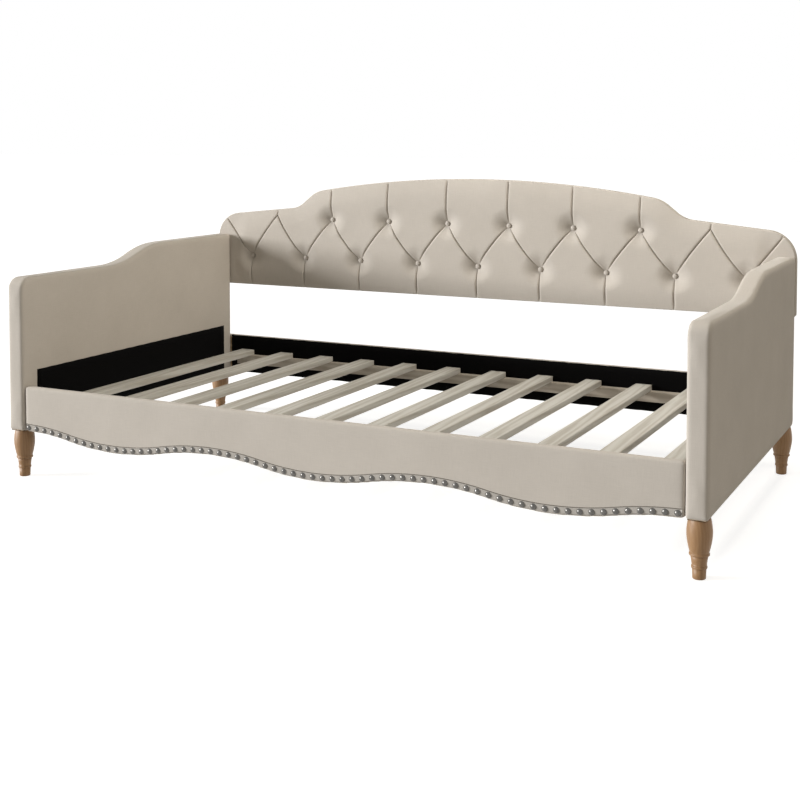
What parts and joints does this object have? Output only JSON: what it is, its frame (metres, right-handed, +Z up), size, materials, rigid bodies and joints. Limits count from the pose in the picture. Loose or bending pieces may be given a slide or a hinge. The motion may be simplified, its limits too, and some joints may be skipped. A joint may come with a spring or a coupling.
{
  "type": "daybed",
  "caption": "Upholstered twin daybed with panel arms, tufted camelback panel, scalloped front rail with nailhead trim, slatted base and turned wooden legs.",
  "frame": {"origin": "on the floor under the middle of the daybed's box", "axes": "+X along the length to the right as seen from the front, +Y from the front to the back panel, +Z up"},
  "size_m": [2.0444, 1.109, 0.852],
  "materials": {
    "beige_linen": "woven linen, matt",
    "black_lining": "non-woven cloth, matt",
    "slat_pine": "planed pine, unfinished",
    "frame_wood": "sawn pine",
    "panel_board": "plywood",
    "leg_wood": "natural satin lacquer",
    "pewter_nail": "polished pewter",
    "zinc_steel": "zinc plated"
  },
  "bodies": {
    "root": {"arm_back_post_left": "frame_wood", "arm_back_post_right": "frame_wood", "arm_bottom_cloth_left": "black_lining", "arm_bottom_cloth_right": "black_lining", "arm_bottom_rail_left": "frame_wood", "arm_bottom_rail_right": "frame_wood", "arm_cover_left": "beige_linen", "arm_cover_right": "beige_linen", "arm_front_post_left": "frame_wood", "arm_front_post_right": "frame_wood", "arm_inner_board_left": "panel_board", "arm_inner_board_right": "panel_board", "arm_inserts": "zinc_steel", "arm_liner_left": "black_lining", "arm_liner_right": "black_lining", "arm_middle_rail_left": "frame_wood", "arm_middle_rail_right": "frame_wood", "arm_outer_board_left": "panel_board", "arm_outer_board_right": "panel_board", "arm_top_rail_left": "frame_wood", "arm_top_rail_right": "frame_wood", "back_board": "panel_board", "back_bolts": "zinc_steel", "back_ledger": "slat_pine", "back_rail_board": "panel_board", "back_rail_cover": "beige_linen", "back_rail_liner": "black_lining", "back_rear_cloth": "beige_linen", "back_tufted_pad": "beige_linen", "bracket_bolts": "zinc_steel", "bracket_screws": "zinc_steel", "front_ledger": "slat_pine", "front_rail_band": "beige_linen", "front_rail_board": "panel_board", "front_rail_bracket_left": "zinc_steel", "front_rail_bracket_right": "zinc_steel", "front_rail_cover": "beige_linen", "front_rail_liner": "black_lining", "leg_back_left": "leg_wood", "leg_back_right": "leg_wood", "leg_front_left": "leg_wood", "leg_front_right": "leg_wood", "leg_hanger_bolts": "zinc_steel", "leg_inserts": "zinc_steel", "nailhead_trim": "pewter_nail", "slat_01": "slat_pine", "slat_02": "slat_pine", "slat_03": "slat_pine", "slat_04": "slat_pine", "slat_05": "slat_pine", "slat_06": "slat_pine", "slat_07": "slat_pine", "slat_08": "slat_pine", "slat_09": "slat_pine", "slat_10": "slat_pine", "slat_11": "slat_pine", "slat_12": "slat_pine", "slat_screws": "zinc_steel", "tuft_buttons": "beige_linen"}
  },
  "joints": []
}
